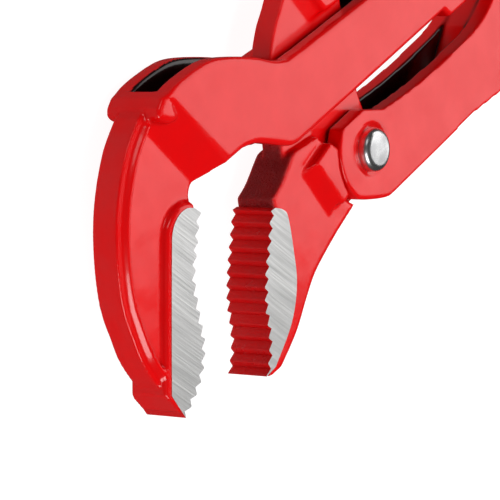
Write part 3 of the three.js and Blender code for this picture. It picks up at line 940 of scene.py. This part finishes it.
@dataclass
class HookJaw:
    """The upper jaw: toothed hook, slotted arm and threaded shank."""

    teeth: ToothRow = ToothRow(
        ((67.2, -19.2), (71.6, -13.2), (76.4, -6.0), (78.4, 1.6), (80.4, 10.0), (85.6, 16.8),
         (94.8, 21.6)), 15)
    back: tuple[Point, ...] = ((97.0, 14.0), (100.2, 4.0), (100.8, -4.0), (100.5, -12.8), (97.0, -24.0),
                               (91.4, -34.4), (83.2, -43.6), (75.2, -48.8))
    rim_width: float = 3.4
    rim_shoulder: float = 2.7
    crotch: tuple[Point, ...] = ((56.8, -26.2), (61.6, -26.2), (65.1, -25.3), (66.9, -23.4), (67.2, -21.2))
    jaw_back: tuple[Point, ...] = ((81.2, -16.4), (78.6, -20.6), (75.2, -22.6), (71.6, -22.7), (68.8, -21.3))
    arm_top: tuple[Point, ...] = ((68.8, -51.2), (64.8, -51.9), (59.2, -52.0), (50.4, -51.2), (43.2, -48.6),
                                  (33.6, -43.7), (26.4, -39.0), (21.6, -37.0))
    mouth: tuple[Point, ...] = ((27.2, -16.6), (30.8, -17.6), (36.8, -21.3), (42.4, -24.6), (48.0, -26.2))
    arm_rear: float = -62.4
    arm_under: float = SHANK_Y + 11.6
    slot_rear: float = -50.0
    thread_front: float = -80.0
    thread_radius: float = 7.5
    thread_depth: float = 1.6
    pitch: float = 4.0
    fillet: float = 1.9

    def arm_outline(self) -> Outline:
        """Draws one wall of the arm.

        Returns:
            The outline in millimetres.
        """
        return [*smooth_line(self.arm_top), (14.4, -36.5), *self.arm_end(),
                (self.arm_rear + 13.0, self.arm_under), (self.arm_rear + 15.0, -16.6),
                *smooth_line(self.mouth), (54.8, -26.3)]

    def arm_end(self) -> Outline:
        """Returns the outline of the arm's rear end, down to its lower corner."""
        shank_top = SHANK_Y - self.thread_radius
        return [(self.arm_rear + 1.0, shank_top - 0.9), (self.arm_rear, shank_top + 0.2),
                (self.arm_rear, self.arm_under)]

    def head_parts(self) -> list[bmesh.types.BMesh]:
        """Builds the head of the hook.

        Returns:
            Its web, its rim and the foot of its toothed block.
        """
        back = smooth_line(self.back)
        row = self.teeth.behind(TOOTH_COVER)
        web = layer([*row, *back, (67.4, -50.6), (61.6, -36.0), (55.8, -26.2),
                     *smooth_line(self.crotch), (67.4, -19.8)], LAYERS.web, 0.4)
        crest = list(reversed(back))
        rim = crowned(crest, set_off(crest, -self.rim_width), LAYERS.rim, self.rim_shoulder)
        wall = set_off(self.flank_line(), -self.fillet + 0.3)
        foot = plate([*row, *wall], FLANK_DROP - LAYERS.jaw, LAYERS.jaw - FLANK_DROP, self.fillet,
                     lambda p: min(math.hypot(p.x - x, p.y - y) for x, y in wall) < 1.2)
        return [web, rim, foot]

    def flank_line(self) -> Outline:
        """Returns the line where the ground flank ends, from the tip to the crotch."""
        return smooth_line([(97.0, 14.0), (92.4, 5.0), (86.8, -5.8), *self.jaw_back], 6)

    def arm_parts(self) -> list[bmesh.types.BMesh]:
        """Builds the arm.

        Returns:
            Its walls, its solid rear end, the shoulders and the collar.
        """
        walls = both_sides(self.arm_outline(), LAYERS.slot, LAYERS.arm, 1.1)
        rear = layer([(self.slot_rear, -34.2), *self.arm_end(), (self.slot_rear, self.arm_under)],
                     LAYERS.arm, 0.9)
        shoulders = [slope([(67.2, -50.4), (54.9, -26.4)], [(76.4, -46.8), (65.0, -25.6)],
                           LAYERS.arm - 0.1, LAYERS.web - 0.4, LAYERS.slot - 0.1, side) for side in (1, -1)]
        collar = layer([(66.4, -44.0), (69.8, -44.4), (72.6, -46.4), (73.4, -48.0), (72.4, -49.9),
                        (69.8, -51.5), (67.0, -51.7)], LAYERS.arm - 0.2, 1.5)
        return [*walls, rear, *shoulders, collar]

    def shank(self) -> bpy.types.Object:
        """Builds the threaded shank with its plain front stretch.

        Returns:
            The shank as one piece.
        """
        core = self.thread_radius - self.thread_depth
        crest = self.thread_radius
        steps = 32
        bm = bmesh.new()
        places = [(core, 0.0), (core, 0.2), (crest, 0.4), (crest, 0.65), (core, 0.85), (core, 1.0)]
        verts = [bm.verts.new((share * self.pitch * MM, r * MM, 0)) for r, share in places]
        edges = [bm.edges.new(pair) for pair in zip(verts, verts[1:])]
        tail = SHANK_LOW.x / MM
        turns = math.ceil((self.thread_front - tail) / self.pitch) + 2
        bmesh.ops.spin(bm, geom=verts + edges, cent=(0, 0, 0), axis=(1, 0, 0), angle=2 * math.pi * turns,
                       steps=steps * turns, dvec=(self.pitch * MM / steps, 0, 0))
        bmesh.ops.remove_doubles(bm, verts=bm.verts[:], dist=2e-6)
        bmesh.ops.translate(bm, verts=bm.verts[:], vec=((tail - self.pitch) * MM, SHANK_Y * MM, MID_Z))
        for x, outwards in ((tail + 0.2, -1), (self.thread_front, 1)):
            bmesh.ops.bisect_plane(bm, geom=[*bm.verts, *bm.edges, *bm.faces], dist=1e-7,
                                   plane_co=(x * MM, 0, 0), plane_no=(outwards, 0, 0), clear_outer=True)
        loose = [e for e in bm.edges if e.is_boundary]
        bmesh.ops.holes_fill(bm, edges=loose, sides=0)
        bmesh.ops.recalc_face_normals(bm, faces=bm.faces[:])
        axis = Vector((0, SHANK_Y * MM, MID_Z))
        plain = rod(crest - 0.05, self.thread_front - 0.6, self.arm_rear + 2.0, Axis.X, axis, 0.6)
        heart = rod(core - 0.1, tail, self.thread_front + 1.0, Axis.X, axis, 0.5)
        return joined([bm, plain, heart], "threaded_shank")

    def build(self, finishes: Finishes) -> None:
        """Builds the jaw's forging, teeth and shank, and dresses them.

        Args:
            finishes: The wrench's finishes.
        """
        hook = fused([*self.head_parts(), *self.arm_parts()], "hook_forging")
        add_slot_shade(hook, LAYERS.slot)
        finish_piece(hook, Body.HOOK, "hook_jaw", [finishes.enamel])
        block = toothed_block(self.teeth, self.flank_line(), "hook_teeth")
        add_forge_scale_and_side_shade(block, (74.0, -8.0), 60.0, 0.5)
        finish_piece(block, Body.HOOK, "hook_jaw", [finishes.enamel, finishes.ground], 25.0)
        shank = self.shank()
        finish_piece(shank, Body.HOOK, "hook_jaw", [finishes.enamel], 30.0)


@dataclass
class JawLever:
    """The lower jaw with its body, its blade through the slot and the crossing handle."""

    teeth: ToothRow = ToothRow(
        ((62.8, 30.0), (58.8, 24.8), (56.6, 19.2), (55.2, 14.0), (51.6, 7.2), (46.8, 0.4), (42.4, -5.6)), 13)
    neck: tuple[Point, ...] = ((40.0, -7.6), (35.2, -9.2), (30.8, -11.6), (27.2, -13.4), (23.2, -13.2))
    belly: tuple[Point, ...] = ((19.2, 13.5), (26.4, 15.7), (32.8, 18.1), (38.4, 21.6), (46.4, 27.2),
                                (56.0, 31.6))
    cheek_radius: float = 14.4
    tongue_radius: float = 10.0
    flange: float = 3.8
    handle_top: tuple[Point, ...] = ((5.0, -50.8), (-2.0, -54.9), (-10.0, -57.6),
                                     (-24.0, -61.0), (-48.0, -64.4), (-88.8, -73.5), (-128.0, -77.0),
                                     (-309.0, -84.5))
    handle_bottom: tuple[Point, ...] = ((-1.0, -39.0), (-8.0, -38.6), (-20.8, -40.6),
                                        (-40.0, -45.2), (-64.0, -49.6), (-88.8, -52.5), (-128.0, -56.0),
                                        (-309.0, -63.5))

    def body_outline(self) -> Outline:
        """Returns the outline of the toothed body ahead of the cheeks."""
        return [*self.teeth.behind(TOOTH_COVER), *smooth_line(self.neck), (16.0, -12.4), (14.7, -10.0),
                *arc(0, 0, self.cheek_radius, -32, 50), *smooth_line(self.belly)]

    def jaw_parts(self) -> list[bmesh.types.BMesh]:
        """Builds the solid part of the jaw.

        Returns:
            The body, the pad and its slopes.
        """
        body = layer(self.body_outline(), LAYERS.jaw - FLANK_DROP, 0.7)
        pad = layer([(23.2, -8.4), (14.9, -10.1), *arc(0, 0, self.cheek_radius, -30, 22, 16), (15.5, 6.6),
                     (17.6, 6.6)], LAYERS.arm, 0.7)
        shoulders = [slope([(22.8, -8.4), (17.7, 5.4)], [(27.2, -7.4), (21.6, 7.6)], LAYERS.arm - 0.2,
                           LAYERS.jaw - 0.4, LAYERS.blade, side) for side in (1, -1)]
        return [body, pad, *shoulders]

    def flank_line(self) -> Outline:
        """Returns the line where the ground flank ends, from the neck to the tip."""
        return smooth_line([(40.4, -5.4), (37.6, -3.2), (36.8, -0.6), (38.4, 7.2), (41.2, 16.0), (47.6, 23.6),
                            (58.4, 29.8)], 6)

    def blade(self) -> bmesh.types.BMesh:
        """Builds the blade that joins body and handle through the arm's slot.

        Returns:
            The blade.
        """
        front = smooth_line([(22.4, -35.2), (21.6, -38.1), (17.1, -43.2), (12.8, -46.4), (8.0, -50.0),
                             (-2.0, -55.4)])
        rear = smooth_line([(-12.8, -44.0), (-12.8, -41.0), (-10.4, -30.4), (-8.0, -17.6)])
        outline = [(28.8, -13.6), (24.8, -24.0), *front, *rear,
                   *arc(0, 0, self.tongue_radius, 210, 80), (8.0, 11.4), (24.0, 11.2), (32.0, 0.0)]
        return layer(outline, LAYERS.blade, 0.4)

    def handle(self) -> list[bmesh.types.BMesh]:
        """Builds the crossing handle.

        Returns:
            The bar with a round end, and the slopes of its flared root.
        """
        top = smooth_line(self.handle_top, 5)
        bottom = smooth_line(self.handle_bottom, 5)
        (tx, ty), (_, by) = self.handle_top[-1], self.handle_bottom[-1]
        end = arc(tx, (ty + by) / 2, (by - ty) / 2, 270, 90, 20)
        whole = layer([*top, *end, *reversed(bottom)], LAYERS.grip, GRIP_ROUND)
        flare = [slope([(-1.5, -53.6), (-6.0, -39.2)], [(8.6, -48.4), (4.0, -38.8)], LAYERS.grip - 0.2,
                       LAYERS.blade, 0.0, side) for side in (1, -1)]
        return [whole, *flare]

    def pockets(self) -> list[bmesh.types.BMesh]:
        """Returns the two long pockets that make the handle an I-section."""
        return handle_pockets(smooth_line(self.handle_top[4:], 8), smooth_line(self.handle_bottom[3:], 8),
                              self.flange)

    def build(self, finishes: Finishes) -> None:
        """Builds the lever's forging and teeth, and dresses them.

        Args:
            finishes: The wrench's finishes.
        """
        lever = fused([*self.jaw_parts(), self.blade(), *self.handle()], "lever_forging", self.pockets())
        add_forge_scale_and_side_shade(lever, (35.0, -11.0), 12.0)
        finish_piece(lever, Body.LEVER, "jaw_lever", [finishes.enamel])
        block = toothed_block(self.teeth, self.flank_line(), "lever_teeth")
        add_forge_scale_and_side_shade(block, (52.0, 12.0), 60.0)
        finish_piece(block, Body.LEVER, "jaw_lever", [finishes.enamel, finishes.ground], 25.0)


def handle_pockets(upper: Outline, lower: Outline, flange: float) -> list[bmesh.types.BMesh]:
    """Makes the pockets of an I-section handle.

    Args:
        upper: The handle's upper edge.
        lower: The handle's lower edge.
        flange: Width of the flanges.

    Returns:
        One closed cutter for each face.
    """
    inner = [*[(x, y + flange) for x, y in upper], *[(x, y - flange) for x, y in reversed(lower)]]
    return both_sides(inner, LAYERS.grip_web, LAYERS.grip + 2)


@dataclass
class NutHandle:
    """The straight handle: cheeks, channel, nut housing and I-section grip."""

    cheek_radius: float = 13.8
    cheek_top: tuple[Point, ...] = ((-8.8, -7.2), (-12.0, -6.4), (-30.0, -4.8), (-50.0, -4.7), (-62.0, -5.6),
                                    (-71.0, -8.8), (-79.0, -13.2))
    beam_top: float = -12.3
    flange: float = 3.8
    grip_end: float = -308.0
    front_wall: float = 6.3
    rear_wall: float = 7.3
    top_wall: float = 5.1
    bore_radius: float = 8.1
    spot_radius: float = 6.9
    spot_depth: float = 0.45

    def build(self, finishes: Finishes) -> None:
        """Builds the handle and dresses it.

        Args:
            finishes: The wrench's finishes.
        """
        handle = fused([*self.cheek_parts(), *self.housing_parts(), self.grip()], "nut_handle_forging",
                       [*self.pockets(), *self.bores()])
        add_slot_shade(handle, LAYERS.channel)
        finish_piece(handle, Body.HANDLE, "nut_handle", [finishes.enamel])

    @property
    def front(self) -> float:
        """Front face of the housing."""
        return NUT_HIGH.x / MM + self.front_wall

    @property
    def rear(self) -> float:
        """Rear face of the housing."""
        return NUT_LOW.x / MM - self.rear_wall

    def cheek_parts(self) -> list[bmesh.types.BMesh]:
        """Builds the front of the handle.

        Returns:
            The two cheeks, and the floor of the channel as one solid up to the housing.
        """
        bottom = smooth_line([(7.6, 10.6), (3.2, 12.8), (-1.2, 14.6), (-4.8, 15.1)], 4)
        outline = [*arc(0, 0, self.cheek_radius, -50, 40), *bottom, (-48.0, 14.6), (self.front - 1, 18.0),
                   (self.front - 1, -15.4), *reversed(smooth_line(self.cheek_top)), (-1.6, -10.8)]
        cheeks = both_sides(outline, LAYERS.channel, LAYERS.arm)
        floor = layer([(-1.6, 15.0), (-1.6, 10.9), (-38.4, 10.6), (-43.2, 8.8), (-52.8, 1.8), (-62.0, -5.0),
                       (-71.0, -8.2), (-79.0, -12.6), (self.front - 1, -15.2), (self.front - 1, 17.9),
                       (-48.0, 14.5)], LAYERS.grip)
        return [*cheeks, floor]

    def housing_parts(self) -> list[bmesh.types.BMesh]:
        """Builds the housing as a block, before its window and bore are cut.

        Returns:
            The block.
        """
        top = SHANK_Y - NUT_RADIUS - self.top_wall
        outline = [(self.front, 18.0), (self.front, top + 4), (self.front - 4, top), (self.rear + 6, top),
                   (self.rear, top + 6), (self.rear, 16.5)]
        return [layer(outline, LAYERS.housing, 1.6)]

    def grip(self) -> bmesh.types.BMesh:
        """Builds the straight handle behind the housing.

        Returns:
            The bar with a round end.
        """
        upper = smooth_line([(self.rear + 1, self.beam_top), (-152.0, self.beam_top),
                             (-188.0, self.beam_top + 1.5), (self.grip_end, self.beam_top + 5.0)], 10)
        lower = smooth_line([(self.rear + 1, 16.5), (-137.6, 9.2), (-156.0, 7.2), (-192.0, 7.4),
                             (self.grip_end, 12.0)], 10)
        (x, y0), (_, y1) = upper[-1], lower[-1]
        end = arc(x, (y0 + y1) / 2, (y1 - y0) / 2, 270, 90, 20)
        return layer([*upper, *end, *reversed(lower)], LAYERS.grip, GRIP_ROUND)

    def pockets(self) -> list[bmesh.types.BMesh]:
        """Makes the pockets of the grip's I-section.

        Returns:
            The two cutters.
        """
        upper = [(-131.0, self.beam_top), (-152.0, self.beam_top), (-188.0, self.beam_top + 1.5),
                 (self.grip_end, self.beam_top + 5.0)]
        lower = smooth_line([(-134.0, 10.6), (-156.0, 7.2), (-192.0, 7.4), (self.grip_end, 12.0)], 8)
        return handle_pockets(upper, lower, self.flange)

    def bores(self) -> list[bmesh.types.BMesh]:
        """Makes the cutters of the housing and the pivot.

        Returns:
            The window, the shank's bore and the spot faces round the rivet.
        """
        reach = NUT_RADIUS + 0.6
        low, high = NUT_LOW.x / MM - 0.3, NUT_HIGH.x / MM + 0.3
        window = layer([(low, SHANK_Y - reach), (high, SHANK_Y - reach), (high, SHANK_Y + reach),
                        (low, SHANK_Y + reach)], LAYERS.housing + 2)
        axis = Vector((0, SHANK_Y * MM, MID_Z))
        bore = rod(self.bore_radius, self.rear - 3, self.front + 3, Axis.X, axis)
        seat = LAYERS.arm - self.spot_depth
        spots = [rod(self.spot_radius, low, high, Axis.Z, Vector((0, 0, MID_Z)))
                 for low, high in ((seat, 12.0), (-12.0, -seat))]
        return [window, bore, *spots]


@dataclass
class PivotRivet:
    """The pivot's rivet with a flat-topped head on both sides."""

    head: float = 5.7
    flat: float = 3.9
    stem: float = 4.8
    seat_depth: float = 0.4

    def build(self, finishes: Finishes) -> None:
        """Builds the rivet and dresses it.

        Args:
            finishes: The wrench's finishes.
        """
        top = LAYERS.housing
        seat = LAYERS.arm - self.seat_depth
        rounding = self.head - self.flat
        crown = arc(self.flat, top - rounding, rounding, 0, 90, 10)
        upper = [(self.stem, seat), (self.head, seat), *crown, (0, top)]
        lower = [(r, -z) for r, z in reversed(upper)]
        piece = joined([turned([*lower, *upper], Axis.Z, Vector((0, 0, MID_Z)), 96)], "pivot_rivet_turned")
        finish_piece(piece, Body.HANDLE, "pivot_rivet", [finishes.bright], 50.0)


@dataclass
class AdjustingNut:
    """The fluted adjusting nut."""

    flutes: int = 20
    flute_depth: float = 1.1
    bevel: float = 0.9
    collar: float = 3.0
    collar_drop: float = 1.8

    def build(self, finishes: Finishes) -> None:
        """Builds the nut and dresses it.

        Args:
            finishes: The wrench's finishes.
        """
        low, high = NUT_LOW.x / MM, NUT_HIGH.x / MM
        ring: Outline = []
        step = 360 / self.flutes
        for i in range(self.flutes):
            ring += arc(0, 0, NUT_RADIUS, i * step, (i + 0.5) * step, 3)
            ring += arc(0, 0, NUT_RADIUS - self.flute_depth, (i + 0.66) * step, (i + 0.84) * step, 2)
        bm = bmesh.new()
        near = low + self.collar
        verts = [bm.verts.new((near * MM, SHANK_Y * MM + x * MM, MID_Z + y * MM)) for x, y in ring]
        bm.faces.new(verts)
        lifted = bmesh.ops.extrude_face_region(bm, geom=bm.faces[:])
        far = [v for v in lifted["geom"] if isinstance(v, bmesh.types.BMVert)]
        bmesh.ops.translate(bm, verts=far, vec=((high - self.collar - near) * MM, 0, 0))
        bmesh.ops.recalc_face_normals(bm, faces=bm.faces[:])
        rims = [e for e in bm.edges if abs(e.verts[0].co.x - e.verts[1].co.x) < 1e-7]
        bmesh.ops.bevel(bm, geom=rims, offset=0.5 * MM, offset_type="OFFSET", segments=2, profile=0.5,
                        affect="EDGES", material=-1, clamp_overlap=True)
        axis = Vector((0, SHANK_Y * MM, MID_Z))
        collar = rod(NUT_RADIUS - self.collar_drop, low, high, Axis.X, axis, self.bevel)
        piece = joined([bm, collar], "adjusting_nut_fluted")
        finish_piece(piece, Body.NUT, "adjusting_nut", [finishes.oiled], 35.0)


@dataclass
class SmallParts:
    """The stop pin in the shank's tail, the leaf spring under the shank and the spring's rivet."""

    spring_thickness: float = 0.8

    def build(self, finishes: Finishes) -> None:
        """Builds the three small pieces and dresses them.

        Args:
            finishes: The wrench's finishes.
        """
        low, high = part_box("shank_stop_pin")
        centre = (low + high) / 2
        half = (high.z - low.z) / 2 / MM
        pin = joined([rod((high.x - low.x) / 2 / MM, -half, half, Axis.Z, centre, 0.4)], "stop_pin_turned")
        finish_piece(pin, Body.HOOK, "shank_stop_pin", [finishes.plain])
        self.leaf(finishes)
        low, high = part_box("spring_rivet")
        centre = Vector(((low.x + high.x) / 2, low.y, (low.z + high.z) / 2))
        head = (high.x - low.x) / 2 / MM
        profile = [(0, 0.15), (head - 1.4, 0.0), (head - 0.5, 0.45), (head, 1.1), (head, 1.4),
                   (1.6, 1.4), (1.6, (high.y - low.y) / MM), (0, (high.y - low.y) / MM)]
        rivet = joined([turned(profile, Axis.Y, centre)], "spring_rivet_turned")
        finish_piece(rivet, Body.HANDLE, "spring_rivet", [finishes.plain])

    def leaf(self, finishes: Finishes) -> None:
        """Builds the leaf spring from its side line.

        Args:
            finishes: The wrench's finishes.
        """
        low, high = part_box("shank_spring")
        x0, x1 = low.x / MM, high.x / MM
        y0, y1 = low.y / MM, high.y / MM
        line = [(x0, y1), (x0 + 7.0, y1), *smooth_line([(x0 + 14.0, y1), (x0 + 19.0, y1 - 2.6),
                (x1 - 23.2, y0 + 3.4), (x1 - 10.4, y0 + 0.9), (x1 - 4.0, y0 + 0.9), (x1, y0 + 2.4)], 8)]
        strip = [*line, *[(x, y - self.spring_thickness) for x, y in reversed(line)]]
        half = (high.z - low.z) / 2 / MM
        leaf = joined([layer(strip, half)], "leaf_spring_strip")
        finish_piece(leaf, Body.HANDLE, "shank_spring", [finishes.blued], 50.0)


# ---- Studio --------------------------------------------------------------------------------


@dataclass(frozen=True)
class SoftLight:
    """One rectangular soft light, in metres and watts."""

    name: str
    place: Place
    target: Place
    size: Point
    power: float
    turn: float = 0.0
    in_gloss: bool = True

    def hang(self) -> None:
        """Hangs the light so that it faces its target."""
        data = bpy.data.lights.new(self.name, "AREA")
        data.shape = "RECTANGLE"
        data.size, data.size_y = self.size
        data.energy = self.power
        light = bpy.data.objects.new(self.name, data)
        light.location = self.place
        facing = (Vector(self.place) - Vector(self.target)).to_track_quat("Z", "Y").to_euler()
        light.rotation_euler = (0.0, 0.0, math.radians(self.turn)) if self.turn else facing
        light.visible_glossy = self.in_gloss
        bpy.context.scene.collection.objects.link(light)


@dataclass
class Studio:
    """The pale floor, the soft lights and the camera."""

    camera_place: Place = (0.52176, -0.28802, 0.41462)
    camera_right: Place = (-0.53193688, 0.2745531, 0.80103917)
    camera_up: Place = (-0.49982961, -0.86540402, -0.03530221)
    lens: float = 201.1
    sensor: float = 36.0
    floor_size: float = 8.0
    floor_glow: float = 0.95
    sky_in_gloss: float = 0.05
    lights: tuple[SoftLight, ...] = (
        SoftLight("mirrored_box", (-1.484, 0.033, 1.0), (-1.484, 0.033, 0.0), (1.6, 1.6), 10.6, turn=-28.7),
        SoftLight("key_box", (-0.3, 0.1, 1.7), (0.0, 0.0, 0.0), (1.4, 1.4), 27.0, in_gloss=False),
        SoftLight("back_strip", (1.2, 0.45, 0.87), (0.09, 0.0, 0.01), (1.2, 0.45), 10.0),
        SoftLight("edge_strip", (0.35, -1.1, 0.75), (0.05, 0.0, 0.0), (0.5, 0.3), 0.9),
    )

    def floor(self) -> None:
        """Lays the floor that the wrench rests on."""
        bm = bmesh.new()
        bmesh.ops.create_grid(bm, x_segments=1, y_segments=1, size=self.floor_size / 2)
        floor = joined([bm], "floor")
        material, _, shader, _ = start_material("pale_floor")
        shader.inputs["Base Color"].default_value = (0.2, 0.2, 0.2, 1)
        shader.inputs["Roughness"].default_value = 0.9
        shader.inputs["Specular IOR Level"].default_value = 0.0
        shader.inputs["Emission Color"].default_value = (1, 1, 1, 1)
        shader.inputs["Emission Strength"].default_value = self.floor_glow
        floor.data.materials.append(material)
        floor.visible_glossy = False

    def camera(self) -> None:
        """Places the camera."""
        data = bpy.data.cameras.new("camera")
        data.lens = self.lens
        data.sensor_width = self.sensor
        data.clip_end = 20.0
        camera = bpy.data.objects.new("camera", data)
        bpy.context.scene.collection.objects.link(camera)
        right, up = Vector(self.camera_right), Vector(self.camera_up)
        back = right.cross(up)
        turn = Matrix((right, up, back)).transposed().to_4x4()
        place = Vector(self.camera_place) + Vector((0, 0, MID_Z))
        camera.matrix_world = Matrix.Translation(place) @ turn
        bpy.context.scene.camera = camera

    def build(self) -> None:
        """Sets up the whole studio."""
        self.camera()
        self.floor()
        for light in self.lights:
            light.hang()
        world = bpy.data.worlds.new("studio")
        world.use_nodes = True
        sheet = NodeSheet(world.node_tree)
        seen = sheet.add("ShaderNodeLightPath").outputs["Is Camera Ray"]
        background = world.node_tree.nodes["Background"]
        sheet.feed(background.inputs["Strength"], sheet.spread(seen, 0.0, 1.0, self.sky_in_gloss, 1.0))
        background.inputs["Color"].default_value = (1, 1, 1, 1)
        bpy.context.scene.world = world
        bpy.context.scene.view_settings.view_transform = "Standard"


def main() -> None:
    """Builds the wrench piece by piece."""
    logging.basicConfig(level=logging.INFO, format="%(message)s")
    finishes = Finishes()
    for part in (HookJaw(), JawLever(), NutHandle(), PivotRivet(), AdjustingNut(), SmallParts()):
        part.build(finishes)
    Studio().build()
    bpy.context.view_layer.update()


if __name__ == "__main__":
    main()
